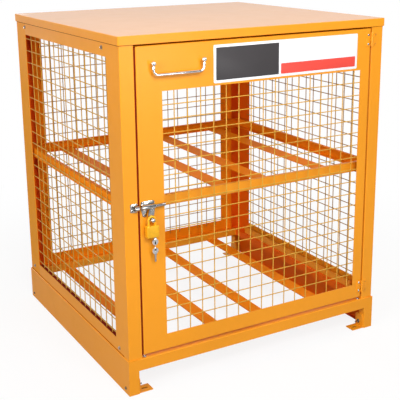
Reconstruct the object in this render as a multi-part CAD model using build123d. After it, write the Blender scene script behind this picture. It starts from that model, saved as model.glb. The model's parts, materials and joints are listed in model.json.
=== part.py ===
from build123d import *
from math import ceil, floor
import os

# Steel storage cabinet for four gas cylinders lying on their sides, two on the floor slats
# and two on the shelf. Millimetres, +X to the right, +Y to the back, +Z up, origin on the
# ground at the middle of the space that the cabinet takes up.

# Body
body_width = 806.0
body_depth = 756.0
overall_height = 932.0
sheet = 1.5
bend_radius = 2.0

# Roof cap
roof_overhang = 3.5
roof_skirt = 22.0
roof_corner = 4.0

# Base
base_height = 98.0
base_step = 3.0
apron_height = 32.0
leg_width = 30.0
leg_return = 24.0
base_flange = 25.0
base_lip = 24.0
foot_lip = 12.0
foot_lip_setback = 42.0

# Corner posts and panel frames
post_face = 38.0
post_side = 78.0
jamb_lip = 18.0
top_rail_height = 35.0
bottom_rail_height = 36.0
rail_flange = 18.0
rail_inner_lip = 24.0
rear_stile = 35.0
rear_lip = 16.0
rear_gap = 1.0
header_gap = 2.0
header_lap = 14.0

# Wire mesh
wire = 2.8
mesh_pitch_across = 37.8
mesh_pitch_up = 35.8
mesh_overlap = 10.0
door_mesh_shift = -10.0

# Slats and shelf
slat_thickness = 3.0
floor_slat_width = 40.0
floor_slat_places = (78.0, 279.0)
shelf_slat_width = 44.0
shelf_slat_places = (66.0, 275.0)
floor_to_shelf = 418.0
shelf_rail_height = 28.0
shelf_rail_top = 12.0
shelf_rail_ledge = 22.0
shelf_clearance = 5.0

# Door
door_gap = 5.0
sill_gap = 8.0
door_thickness = 20.0
door_lip = 12.0
latch_stile = 68.5
hinge_stile = 32.0
door_top_rail = 113.0
door_bottom_rail = 43.0

# Butt hinges
hinge_height = 38.0
hinge_leaf = 14.0
hinge_leaf_thickness = 1.5
knuckle_radius = 3.5
hinge_pin_radius = 1.6
hinge_pin_clearance = 0.05
knuckle_gap = 0.4
upper_hinge_drop = 22.0
lower_hinge_rise = 31.0

# Barrel bolt
latch_rise = 402.0
rod_radius = 4.0
rod_clearance = 0.06
rod_length = 67.0
rod_stroke = 20.0
rod_tip_reach = 1.0
latch_plate = 2.0
latch_plate_rise = 14.5
latch_plate_corner = 4.0
barrel_radius = 6.5
barrel_length = 36.0
barrel_setback = 1.0
lug_slot = 4.2
lug_thickness = 2.5
lug_width = 14.0
lug_place = 24.5
stud_drop = 33.0
stud_radius = 4.5
stud_length = 11.0
knob_radius = 5.5
keeper_length = 20.0
keeper_strap = 11.0
keeper_margin = 2.0
keeper_wall = 2.2
keeper_bore_clearance = 0.5
keeper_plate = 1.5
keeper_ear = 4.5

# Padlock
lock_width = 33.0
lock_height = 31.0
lock_thickness = 16.0
lock_gap = 5.0
shackle_wire = 3.0
shackle_reach = 9.0
shackle_seat = 0.3
shackle_leg = 13.8

# Round wire of the shackle and the bail, drawn with this many flats
wire_sides = 8

# Bail handle
handle_drop = 42.0
handle_from_edge = 41.0
handle_span = 139.5
bail_wire = 3.5
bail_drop = 28.0
bail_bend = 9.0
tongue_thickness = 4.0
tongue_clearance = 0.5
ball_stand = 12.0
ball_radius = 6.5
stem_radius = 4.0
pivot_radius = 1.5
pivot_clearance = 0.05

# Anchor brackets
anchor_thickness = 3.0
anchor_length = 39.5
anchor_width = 32.0
anchor_height = 42.0
anchor_corner = 8.0
anchor_slot_length = 18.0
anchor_slot_width = 7.0
anchor_slot_place = 48.5

# Places that follow from the sizes
lock_plane = latch_plate + barrel_radius
lug_front = lock_plane + lug_thickness / 2
front_reach = lug_front + stud_length + knob_radius
left = -body_width / 2
right = body_width / 2
front = -(body_depth + front_reach + roof_overhang) / 2 + front_reach
back = front + body_depth
roof_under = overall_height - sheet
skirt_bottom = overall_height - roof_skirt
opening_top = skirt_bottom - top_rail_height
opening_bottom = base_height + bottom_rail_height
door_left = left + post_face + door_gap
door_right = right - post_face - door_gap
door_bottom = base_height + sill_gap
door_top = skirt_bottom - door_gap
window_left = door_left + latch_stile
window_right = door_right - hinge_stile
window_bottom = door_bottom + door_bottom_rail
window_top = door_top - door_top_rail
mesh_depth = 2 * wire
slat_top = base_height - base_lip
shelf_bottom = slat_top + floor_to_shelf
latch_height = door_bottom + latch_rise
handle_height = door_top - handle_drop
shelf_front = front + door_thickness + shelf_clearance
shelf_side = left + sheet + mesh_depth
shelf_back = back - max(jamb_lip, sheet + mesh_depth)
hinge_x = door_right + door_gap / 2
hinge_y = front - knuckle_radius


def box(x0, x1, y0, y1, z0, z1):
    """Block between two corners."""
    return Pos((x0 + x1) / 2, (y0 + y1) / 2, (z0 + z1) / 2) * Box(x1 - x0, y1 - y0, z1 - z0)


def bent(*outline):
    """Section of a bent sheet: its outer side follows the outline, the metal lies to its right."""
    path = FilletPolyline(*outline, radius=bend_radius)
    return make_face(offset(path, amount=sheet, side=Side.RIGHT))


def along_x(section, x0, x1):
    """Section drawn in (y, z), run from x0 to x1."""
    plane = Plane(origin=(x0, 0, 0), x_dir=(0, 1, 0), z_dir=(1, 0, 0))
    return extrude(plane * section, x1 - x0)


def along_y(section, y0, y1):
    """Section drawn in (x, z), run from y0 to y1."""
    plane = Plane(origin=(0, y1, 0), x_dir=(1, 0, 0), z_dir=(0, -1, 0))
    return extrude(plane * section, y1 - y0)


def along_z(section, z0, z1):
    """Section drawn in (x, y), run from z0 to z1."""
    return extrude(Pos(0, 0, z0) * section, z1 - z0)


def swap_sides(shape):
    """The same piece on the other side of the cabinet."""
    return mirror(shape, about=Plane.YZ)


def swap_ends(shape):
    """The same piece at the other end, front for back."""
    return mirror(shape, about=Plane.XZ.offset(-(front + back) / 2))


def facing(*corners, y0, y1):
    """Flat outline drawn in (x, z), run from y0 to y1."""
    return along_y(make_face(Polyline(*corners, close=True)), y0, y1)


def from_above(*corners, z0, z1):
    """Flat outline drawn in (x, y), run from z0 to z1."""
    return along_z(make_face(Polyline(*corners, close=True)), z0, z1)


def roof_block(inset):
    """Rounded block as large as the roof cap, drawn in by an inset all round and at the top."""
    outline = RectangleRounded(
        body_width + 2 * (roof_overhang - inset),
        body_depth + 2 * (roof_overhang - inset),
        roof_corner - inset,
    )
    block = extrude(Pos(0, (front + back) / 2, skirt_bottom) * outline, roof_skirt - inset)
    return fillet(block.faces().sort_by(Axis.Z)[-1].edges(), bend_radius - inset)


def roof_cap():
    """Pressed tray that overhangs the body by a few millimetres."""
    return roof_block(0) - roof_block(sheet)


def corner_post():
    """Front left post: the end of the side panel, folded round the corner to a jamb lip."""
    section = bent(
        (left + post_face, front + jamb_lip),
        (left + post_face, front),
        (left, front),
        (left, front + post_side),
    )
    return along_z(section, base_height, roof_under)


def side_top_rail():
    """Left rail over the side opening, turned in under the roof."""
    section = bent((left, opening_top), (left, roof_under), (left + rail_flange, roof_under))
    return along_y(section, front + post_side, back - post_side)


def side_bottom_rail():
    """Left rail under the side opening, a channel that the mesh drops into."""
    section = bent(
        (left + rail_flange, base_height + rail_inner_lip),
        (left + rail_flange, base_height),
        (left, base_height),
        (left, opening_bottom),
    )
    return along_y(section, front + post_side, back - post_side)


def mitred(members, outer, inner, cut):
    """Trims four frame members to the diagonals between an outer and an inner rectangle."""
    (x0, y0, x1, y1), (a0, b0, a1, b1) = outer, inner
    outlines = {
        "left": ((x0, y0), (x0, y1), (a0, b1), (a0, b0)),
        "right": ((x1, y0), (x1, y1), (a1, b1), (a1, b0)),
        "top": ((x0, y1), (x1, y1), (a1, b1), (a0, b1)),
        "bottom": ((x0, y0), (x1, y0), (a1, b0), (a0, b0)),
    }
    return {side: members[side] & cut(outlines[side]) for side in members}


def front_header():
    """Angle under the front edge of the roof that the top of the door closes against."""
    face = front + door_thickness + header_gap
    section = bent((face, door_top - header_lap), (face, roof_under), (face + rail_flange, roof_under))
    return along_x(section, left + sheet, right - sheet)


def rear_frame():
    """Four folded members round the rear opening, set between the rear posts."""
    x0 = left + post_face + rear_gap
    x1 = right - post_face - rear_gap
    members = {
        "left": along_z(bent((x0, back - rear_lip), (x0, back), (x0 + rear_stile, back)), base_height, roof_under),
        "right": along_z(bent((x1 - rear_stile, back), (x1, back), (x1, back - rear_lip)), base_height, roof_under),
        "top": along_x(bent((back - rear_lip, roof_under), (back, roof_under), (back, opening_top)), x0, x1),
        "bottom": along_x(bent((back, opening_bottom), (back, base_height), (back - rear_lip, base_height)), x0, x1),
    }
    outer = (x0, base_height, x1, roof_under)
    inner = (x0 + rear_stile, opening_bottom, x1 - rear_stile, opening_top)
    return mitred(members, outer, inner, lambda line: facing(*line, y0=back - rear_lip, y1=back))


def bar_places(span, pitch, shift):
    """Places of the bars across a span, counted from its middle, that stay clear of its ends."""
    reach = span / 2 - mesh_overlap - wire
    first = ceil((-reach - shift) / pitch)
    last = floor((reach - shift) / pitch)
    return [shift + i * pitch for i in range(first, last + 1)]


def lattice(width, height, shift_across=0.0, shift_up=0.0):
    """Welded mesh in the (x, z) plane about its middle: upright bars behind, level bars in front."""
    bars = []
    for x in bar_places(width, mesh_pitch_across, shift_across):
        bars.append(Pos(x, wire / 2, 0) * Box(wire, wire, height))
    for z in bar_places(height, mesh_pitch_up, shift_up):
        bars.append(Pos(0, -wire / 2, z) * Box(width, wire, wire))
    return bars[0].fuse(*bars[1:])


def side_mesh():
    """Left mesh, welded to the back of the posts and rails."""
    width = body_depth - 2 * post_side + 2 * mesh_overlap
    height = opening_top - opening_bottom + 2 * mesh_overlap
    place = Pos(left + sheet + wire, (front + back) / 2, (opening_top + opening_bottom) / 2)
    return place * (Rot(0, 0, 90) * lattice(width, height))


def rear_mesh():
    """Rear mesh, welded to the inside of the rear frame."""
    width = body_width - 2 * (post_face + rear_gap + rear_stile) + 2 * mesh_overlap
    height = opening_top - opening_bottom + 2 * mesh_overlap
    return Pos(0, back - sheet - wire, (opening_top + opening_bottom) / 2) * lattice(width, height)


def door_mesh():
    """Door mesh, welded to the inside of the door skin."""
    width = window_right - window_left + 2 * mesh_overlap
    height = window_top - window_bottom + 2 * mesh_overlap
    place = Pos((window_left + window_right) / 2, front + sheet + wire, (window_top + window_bottom) / 2)
    return place * lattice(width, height, door_mesh_shift)


def base_skirt():
    """Left side of the base: web, top flange with a lip turned down, and a foot lip."""
    outer = left - base_step
    inner = outer + base_flange
    section = bent(
        (outer, 0),
        (outer, base_height),
        (inner, base_height),
        (inner, base_height - base_lip),
    )
    start = front - base_step + sheet
    end = back + base_step - sheet
    lip = box(
        outer + sheet, outer + foot_lip,
        front + foot_lip_setback, back - foot_lip_setback,
        0, sheet,
    )
    return along_y(section, start, end) + lip


def base_apron():
    """Front of the base: a plate cut away between two angled legs, folded back along its top."""
    face = front - base_step
    outer = left - base_step
    under = base_height - apron_height
    leg_edge = outer + leg_width
    plate = box(outer, -outer, face, face + sheet, under, base_height)
    leg = along_z(bent((leg_edge, face + leg_return), (leg_edge, face), (outer, face)), 0, under)
    plate += leg + swap_sides(leg)
    fold = bent(
        (face, under),
        (face, base_height),
        (face + base_flange, base_height),
        (face + base_flange, base_height - base_lip),
    )
    inner = outer + base_flange
    notch = box(inner, -inner, face, face + sheet, base_height - bend_radius, base_height)
    return plate - notch + along_x(fold, inner, -inner)


def slats(places, width, y0, y1, top):
    """Four flat strips from front to back, mirrored about the middle."""
    strips = []
    for place in places:
        for side in (-1, 1):
            x = side * place
            strips.append(box(x - width / 2, x + width / 2, y0, y1, top - slat_thickness, top))
    return Compound(strips)


def shelf_frame():
    """Four folded channels round the shelf, mitred at the corners."""
    top = shelf_bottom + shelf_rail_height

    def channel(edge, way):
        line = [
            (edge + way * shelf_rail_ledge, shelf_bottom),
            (edge, shelf_bottom),
            (edge, top),
            (edge + way * shelf_rail_top, top),
        ]
        return bent(*(line if way > 0 else reversed(line)))

    members = {
        "left": along_y(channel(shelf_side, 1), shelf_front, shelf_back),
        "right": along_y(channel(-shelf_side, -1), shelf_front, shelf_back),
        "bottom": along_x(channel(shelf_front, 1), shelf_side, -shelf_side),
        "top": along_x(channel(shelf_back, -1), shelf_side, -shelf_side),
    }
    inset = shelf_rail_ledge
    outer = (shelf_side, shelf_front, -shelf_side, shelf_back)
    inner = (shelf_side + inset, shelf_front + inset, -shelf_side - inset, shelf_back - inset)
    return mitred(members, outer, inner, lambda line: from_above(*line, z0=shelf_bottom, z1=top))


def door_frame():
    """Door skin as four folded members that meet on diagonals at the corners of the window."""
    rear = front + door_thickness
    members = {
        "left": along_z(
            bent((window_left, front), (door_left, front), (door_left, rear), (door_left + door_lip, rear)),
            door_bottom, door_top,
        ),
        "right": along_z(
            bent((door_right - door_lip, rear), (door_right, rear), (door_right, front), (window_right, front)),
            door_bottom, door_top,
        ),
        "top": along_x(
            bent((front, window_top), (front, door_top), (rear, door_top), (rear, door_top - door_lip)),
            door_left, door_right,
        ),
        "bottom": along_x(
            bent((rear, door_bottom + door_lip), (rear, door_bottom), (front, door_bottom), (front, window_bottom)),
            door_left, door_right,
        ),
    }
    outer = (door_left, door_bottom, door_right, door_top)
    inner = (window_left, window_bottom, window_right, window_top)
    return mitred(members, outer, inner, lambda line: facing(*line, y0=front, y1=rear))


def hinge(z0):
    """Fixed and moving leaf of one butt hinge, whose lower end is at z0."""
    third = (hinge_height - 2 * knuckle_gap) / 3
    z1 = z0 + hinge_height
    clear = knuckle_radius + knuckle_gap
    spans = [(z0, z0 + third), (z0 + third + knuckle_gap, z1 - third - knuckle_gap), (z1 - third, z1)]

    def knuckle(low, high):
        return Pos(hinge_x, hinge_y, low) * extrude(Circle(knuckle_radius), high - low)

    def leaf(way, own):
        far = hinge_x + way * (clear + hinge_leaf)
        x0, x1 = sorted((hinge_x, far))
        plate = box(x0, x1, front - hinge_leaf_thickness, front, z0, z1)
        rounded = plate.edges().filter_by(Axis.Y).sort_by(lambda edge: way * edge.center().X)[-2:]
        plate = fillet(rounded, bend_radius)
        for low, high in spans:
            if (low, high) not in own:
                plate -= box(hinge_x - clear, hinge_x + clear, front - 2 * clear, front, low - knuckle_gap, high + knuckle_gap)
        for low, high in own:
            plate += knuckle(low, high)
        return plate

    pin = Pos(hinge_x, hinge_y, z0) * extrude(Circle(hinge_pin_radius), hinge_height)
    bore = Pos(hinge_x, hinge_y, z0) * extrude(Circle(hinge_pin_radius + hinge_pin_clearance), hinge_height)
    fixed = leaf(1, [spans[0], spans[2]]) + pin
    moving = leaf(-1, [spans[1]]) - bore
    return fixed, moving


def ball(radius):
    """Turned ball about the Y axis."""
    half = RegularPolygon(radius, 12) & Pos(radius, 0) * Rectangle(2 * radius, 4 * radius)
    return revolve(half, Axis.Y)


def rod_line(radius, x0, x1):
    """Round bar on the line of the bolt."""
    section = Pos(front - lock_plane, latch_height) * Circle(radius)
    return along_x(section, x0, x1)


barrel_left = door_left + barrel_setback
rod_tip = barrel_left - rod_tip_reach
lug_x = barrel_left + lug_place


def latch_barrel():
    """Back plate with its tapered tail, and the slotted barrel that the rod slides in."""
    x0 = barrel_left
    x1 = barrel_left + barrel_length
    top = latch_height + barrel_radius
    low = latch_height - barrel_radius
    upper = latch_height + latch_plate_rise
    tail = latch_height - stud_drop + knob_radius
    plate = facing(
        (x0, low), (x0, upper), (x1, upper), (x1, low),
        (x0 + barrel_length / 2, low), (x0 + barrel_length / 3, tail), (x0 + barrel_length / 6, tail),
        y0=front - latch_plate, y1=front,
    )
    plate = fillet(plate.edges().filter_by(Axis.Y).sort_by(Axis.Z)[-2:], latch_plate_corner)
    housing = rod_line(barrel_radius, x0, x1)
    housing += box(x0, x1, front - lock_plane, front - latch_plate, low, top)
    housing -= rod_line(rod_radius + rod_clearance, x0, x1)
    centre = front - lock_plane
    housing -= box(x0, x1, centre - lug_slot / 2, centre + lug_slot / 2, low, latch_height)
    return plate + housing


def bolt_rod():
    """Sliding rod with its hanging lug, and the knobbed stud that the padlock hangs on."""
    centre = front - lock_plane
    stud_z = latch_height - stud_drop
    rod = rod_line(rod_radius, rod_tip, rod_tip + rod_length)
    rod = chamfer(rod.edges().filter_by(GeomType.CIRCLE), rod_radius / 4)
    shoulder = latch_height - barrel_radius
    waist = knob_radius
    lug = facing(
        (lug_x - lug_width / 2, latch_height), (lug_x + lug_width / 2, latch_height),
        (lug_x + lug_width / 2, shoulder), (lug_x + waist, stud_z), (lug_x - waist, stud_z),
        (lug_x - lug_width / 2, shoulder),
        y0=centre - lug_thickness / 2, y1=centre + lug_thickness / 2,
    )
    toward_front = Plane(origin=(lug_x, centre + lug_thickness / 2, stud_z), x_dir=(1, 0, 0), z_dir=(0, -1, 0))
    eye = extrude(toward_front * Circle(waist), lug_thickness)
    stud = extrude(toward_front * Circle(stud_radius), lug_thickness + stud_length)
    knob = Pos(lug_x, front - lug_front - stud_length, stud_z) * ball(knob_radius)
    return rod + lug + eye + stud + knob


def bolt_keeper():
    """Strap on the post that the rod enters, with a screw ear above and below."""
    x1 = left + post_face - keeper_margin
    x0 = x1 - keeper_length
    bore = rod_radius + keeper_bore_clearance
    outer = bore + keeper_wall
    plate = box(
        x0, x1, front - keeper_plate, front,
        latch_height - outer - keeper_ear, latch_height + outer + keeper_ear,
    )
    plate = fillet(plate.edges().filter_by(Axis.Y), bend_radius)
    strap_end = x1 - keeper_strap
    strap = rod_line(outer, strap_end, x1)
    strap += box(strap_end, x1, front - lock_plane, front - keeper_plate, latch_height - outer, latch_height + outer)
    return plate + strap - rod_line(bore, x0, x1)


lock_middle = front - lock_gap - lock_thickness / 2
arch_inside = shackle_reach - shackle_wire
arch_z = latch_height - stud_drop + stud_radius + shackle_seat - arch_inside
lock_top = arch_z - shackle_leg


def padlock_body():
    """Padlock case with softened edges."""
    case = Pos(lug_x, lock_middle, lock_top - lock_height / 2) * Box(lock_width, lock_thickness, lock_height)
    case = fillet(case.edges().filter_by(Axis.Y), bend_radius * 2)
    return chamfer(case.faces().sort_by(Axis.Y)[0].edges(), sheet)


def padlock_shackle():
    """Round shackle that hangs over the stud behind its knob."""
    section = Pos(shackle_reach, 0) * RegularPolygon(shackle_wire, wire_sides)
    leg = extrude(Pos(0, 0, -shackle_leg) * section, shackle_leg)
    arch = revolve(section, Axis((0, 0, 0), (0, -1, 0)), 180)
    return Pos(lug_x, lock_middle, arch_z) * (arch + leg + swap_sides(leg))


handle_left = door_left + handle_from_edge
handle_right = handle_left + handle_span
tongue_slot = tongue_thickness + 2 * tongue_clearance
shoulder_drop = ball_radius + tongue_clearance


def handle_eyes():
    """Two ball-ended posts on the door skin, forked for the tongues of the bail."""
    post = ball(ball_radius)
    post += Rot(90, 0, 0) * extrude(Circle(stem_radius), -ball_stand)
    fork = box(
        -tongue_slot / 2, tongue_slot / 2,
        -ball_radius, bail_wire + tongue_clearance, -ball_radius, ball_radius,
    )
    post = post - fork + along_x(Circle(pivot_radius), -tongue_thickness, tongue_thickness)
    places = [Pos(x, front - ball_stand, handle_height) for x in (handle_left, handle_right)]
    return Compound([place * post for place in places])


def handle_bail():
    """Round wire bail with flattened tongues that turn on the pins of the two posts."""
    half = handle_span / 2
    path = FilletPolyline(
        (-half, 0, -shoulder_drop), (-half, 0, -bail_drop), (half, 0, -bail_drop), (half, 0, -shoulder_drop),
        radius=bail_bend,
    )
    section = Plane(origin=(-half, 0, -shoulder_drop), z_dir=(0, 0, -1)) * RegularPolygon(bail_wire, wire_sides)
    bail = sweep(section, path=path)
    tongue = along_x(
        Circle(bail_wire) + Pos(0, -shoulder_drop / 2) * Rectangle(2 * bail_wire, shoulder_drop),
        -tongue_thickness / 2, tongue_thickness / 2,
    )
    tongue -= along_x(Circle(pivot_radius + pivot_clearance), -tongue_thickness, tongue_thickness)
    bail = bail + Pos(-half, 0, 0) * tongue + Pos(half, 0, 0) * tongue
    return Pos(handle_left + half, front - ball_stand, handle_height) * bail


def anchor_bracket():
    """Front left angle bracket: an upright plate on the leg and a slotted foot on the ground."""
    x0 = left - base_step + leg_width
    y0 = front
    y1 = front + anchor_width
    upright = box(x0, x0 + anchor_thickness, y0, y1, 0, anchor_height)
    upper_edges = upright.edges().filter_by(Axis.X).sort_by(Axis.Z)[-2:]
    upright = fillet(upper_edges, anchor_corner)
    foot = box(x0, x0 + anchor_length, y0, y1, 0, anchor_thickness)
    slot = Pos(left + anchor_slot_place, (y0 + y1) / 2, 0) * extrude(
        SlotOverall(anchor_slot_length, anchor_slot_width), anchor_thickness
    )
    return upright + foot - slot


nodes = {"roof_cap": roof_cap()}

post = corner_post()
nodes["front_left_post"] = post
nodes["front_right_post"] = swap_sides(post)
nodes["rear_left_post"] = swap_ends(post)
nodes["rear_right_post"] = swap_sides(swap_ends(post))

for name, piece in (
    ("top_rail", side_top_rail()),
    ("bottom_rail", side_bottom_rail()),
    ("mesh", side_mesh()),
    ("base_skirt", base_skirt()),
):
    nodes["left_" + name] = piece
    nodes["right_" + name] = swap_sides(piece)

rear = rear_frame()
nodes["rear_left_stile"] = rear["left"]
nodes["rear_right_stile"] = rear["right"]
nodes["rear_top_rail"] = rear["top"]
nodes["rear_bottom_rail"] = rear["bottom"]
nodes["rear_mesh"] = rear_mesh()
nodes["front_top_rail"] = front_header()

apron = base_apron()
nodes["front_base_apron"] = apron
nodes["rear_base_apron"] = swap_ends(apron)

bracket = anchor_bracket()
nodes["front_left_anchor"] = bracket
nodes["front_right_anchor"] = swap_sides(bracket)
nodes["rear_left_anchor"] = swap_ends(bracket)
nodes["rear_right_anchor"] = swap_sides(swap_ends(bracket))

apron_inside = base_step - sheet
nodes["floor_slats"] = slats(
    floor_slat_places, floor_slat_width, front - apron_inside, back + apron_inside, slat_top
)

shelf = shelf_frame()
nodes["shelf_front_rail"] = shelf["bottom"]
nodes["shelf_rear_rail"] = shelf["top"]
nodes["shelf_left_rail"] = shelf["left"]
nodes["shelf_right_rail"] = shelf["right"]
nodes["shelf_slats"] = slats(
    shelf_slat_places, shelf_slat_width, shelf_front + bend_radius, shelf_back - bend_radius,
    shelf_bottom + sheet + slat_thickness,
)

door = door_frame()
nodes["door_latch_stile"] = door["left"]
nodes["door_hinge_stile"] = door["right"]
nodes["door_top_rail"] = door["top"]
nodes["door_bottom_rail"] = door["bottom"]
nodes["door_mesh"] = door_mesh()

for name, low in (
    ("upper_hinge", door_top - upper_hinge_drop / 2 - hinge_height),
    ("lower_hinge", door_bottom + lower_hinge_rise / 2),
):
    fixed_leaf, door_leaf = hinge(low)
    nodes[name + "_post_leaf"] = fixed_leaf
    nodes[name + "_door_leaf"] = door_leaf

nodes["latch_barrel"] = latch_barrel()
nodes["bolt_rod"] = bolt_rod()
nodes["bolt_keeper"] = bolt_keeper()
nodes["padlock_body"] = padlock_body()
nodes["padlock_shackle"] = padlock_shackle()
nodes["handle_eyes"] = handle_eyes()
nodes["handle_bail"] = handle_bail()

os.makedirs("parts", exist_ok=True)
for name, shape in nodes.items():
    export_step(shape, f"parts/{name}.step")
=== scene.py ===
import json
import math

import bmesh
import bpy
from bpy.props import FloatProperty, FloatVectorProperty, IntProperty, PointerProperty
from mathutils import Matrix, Vector


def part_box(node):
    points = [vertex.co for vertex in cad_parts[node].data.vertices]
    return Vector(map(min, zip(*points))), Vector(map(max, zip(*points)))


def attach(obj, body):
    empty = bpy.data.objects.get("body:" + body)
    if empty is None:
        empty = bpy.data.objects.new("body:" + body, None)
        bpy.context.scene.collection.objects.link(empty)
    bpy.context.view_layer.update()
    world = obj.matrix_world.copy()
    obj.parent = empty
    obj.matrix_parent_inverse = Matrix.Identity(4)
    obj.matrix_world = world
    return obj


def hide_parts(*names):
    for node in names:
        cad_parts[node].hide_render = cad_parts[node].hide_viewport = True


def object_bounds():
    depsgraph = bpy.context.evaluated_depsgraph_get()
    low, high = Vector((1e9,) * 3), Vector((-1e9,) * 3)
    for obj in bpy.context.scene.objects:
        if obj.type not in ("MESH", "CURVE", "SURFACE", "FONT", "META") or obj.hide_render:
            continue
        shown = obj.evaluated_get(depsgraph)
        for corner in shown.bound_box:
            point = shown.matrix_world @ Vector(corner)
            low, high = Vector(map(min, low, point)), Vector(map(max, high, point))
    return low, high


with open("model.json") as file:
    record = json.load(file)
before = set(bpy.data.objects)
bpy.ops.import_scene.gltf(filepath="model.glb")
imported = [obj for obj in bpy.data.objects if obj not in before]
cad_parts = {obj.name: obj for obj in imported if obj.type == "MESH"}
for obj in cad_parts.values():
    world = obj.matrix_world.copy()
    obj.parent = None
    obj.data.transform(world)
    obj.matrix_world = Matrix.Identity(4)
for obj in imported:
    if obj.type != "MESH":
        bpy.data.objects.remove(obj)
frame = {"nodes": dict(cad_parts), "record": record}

bl_info = {
    "name": "Gas Cylinder Cabinet Finish",
    "version": (1, 0, 0),
    "blender": (4, 5, 0),
    "location": "View3D > Sidebar > Cabinet",
    "description": "Dresses the packed steel cabinet with wire mesh, fasteners, lock, "
                   "handle and sign plate",
    "category": "Object",
}

CAD_BOUNDS = [list(corner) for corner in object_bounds()]
X, Y, Z = Vector((1, 0, 0)), Vector((0, 1, 0)), Vector((0, 0, 1))
MM = 0.001

# Places read from the frame, so that every piece follows the CAD
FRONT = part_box("door_latch_stile")[0].y
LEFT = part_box("front_left_post")[0].x
RIGHT = -LEFT
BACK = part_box("rear_left_post")[1].y
BASE_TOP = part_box("front_base_apron")[1].z
LOCK_LOW, LOCK_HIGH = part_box("padlock_body")
LOCK_MIDDLE = (LOCK_LOW + LOCK_HIGH) / 2

# Faces nearer the middle than these (x to both sides, y to the back) are inner ones, which get a
# darker, redder colour as painted shade
BODY_EDGES = (RIGHT - 0.9 * MM, BACK - 1.4 * MM)
SKIRT_EDGES = (RIGHT + 2.3 * MM, BACK + 2.3 * MM)
EDGE_FADE = 0.3 * MM

# Frame members outside the cabinet with a finish of their own: a painted sheen on the roof's top,
# and painted shade on the inner faces of the rear posts and the right skirt
MEMBER_COATS = {
    "roof_cap": "roof_coat",
    "right_base_skirt": "skirt_coat",
    "rear_left_post": "post_coat",
    "rear_right_post": "post_coat",
}

RECESS = 1  # place of the dark finish in each piece's list that has one
LEAF_THICK = 1.5 * MM
LATCH_THICK = 1.8 * MM

# Each bolt's distance from the front and height, in millimetres
SIDE_BOLTS = ((101, 896), (678, 897), (58, 112), (720, 118))

# Name, place, aim, watts and width of each square lamp
LAMPS = (
    ("key_light", (-0.5, -2.3, 2.25), (0, 0, 2.0), 75.0, 1.6),
    ("front_card", (1.0, -3.3, 0.55), (-0.2, 0, 0.7), 13.0, 0.6),
    ("roof_light", (0.9, 1.9, 3.3), (0, 0, 0.9), 13.0, 2.0),
    ("left_light", (-3.0, -1.3, 1.5), (0, 0, 0.5), 65.0, 1.8),
    ("right_light", (3.4, -0.2, 2.0), (0, 0, 0.6), 40.0, 1.8),
    ("rear_light", (-0.1, 3.9, 0.9), (0, 0, 0.5), 58.0, 1.4),
)

# The camera that was fitted to the corners of the cabinet in the photograph
PHOTO_WIDTH = 400.0
FOCAL_PIXELS = 848.3
SENSOR_WIDTH = 36.0
CAMERA_AT = (-1.2192, -2.1807, 1.1501)
CAMERA_RIGHT = (0.86793, -0.49658, -0.00989)
CAMERA_LOOK = (0.47832, 0.84104, -0.25271)


def length(name, description, default):
    return FloatProperty(
        name=name, description=description, default=default * MM, unit="LENGTH",
    )


def colour(name, description, default):
    return FloatVectorProperty(
        name=name, description=description, default=default,
        subtype="COLOR", min=0.0, max=1.0, size=3,
    )


class CabinetSizes(bpy.types.PropertyGroup):
    wire: length("Wire", "Diameter of the welded mesh wires", 2.7)
    pitch_across: length("Pitch across", "Distance between upright wires", 37.8)
    pitch_up: length("Pitch up", "Distance between level wires", 35.8)
    mesh_tuck: length("Mesh tuck", "Length of wire hidden behind each frame", 10)
    door_mesh_shift: length(
        "Door mesh shift", "Sideways offset of the door's upright wires from its middle", -10
    )
    bolt_width: length("Bolt width", "Width across the flats of the hexagon heads", 8)
    screw_width: length("Screw width", "Diameter of the hinge and latch screw heads", 7)
    sign_width: length("Sign width", "Width of the blank sign plate", 459)
    sign_height: length("Sign height", "Height of the blank sign plate", 96.5)
    sign_left: length(
        "Sign left", "Distance from the cabinet's left side to the sign plate", 257.5
    )
    sign_base: length("Sign base", "Height of the sign plate's lower edge", 797.5)
    key_bow: length("Key bow", "Width of a key's head", 17)
    key_ring: length("Key ring", "Width of the ring that joins the keys", 12.6)
    key_drop: length(
        "Key drop", "Distance from the key in the lock down to the hanging key", 23.5
    )
    round_steps: IntProperty(
        name="Round steps", description="Sides of each round bar", default=20, min=8, max=64,
    )


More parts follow.
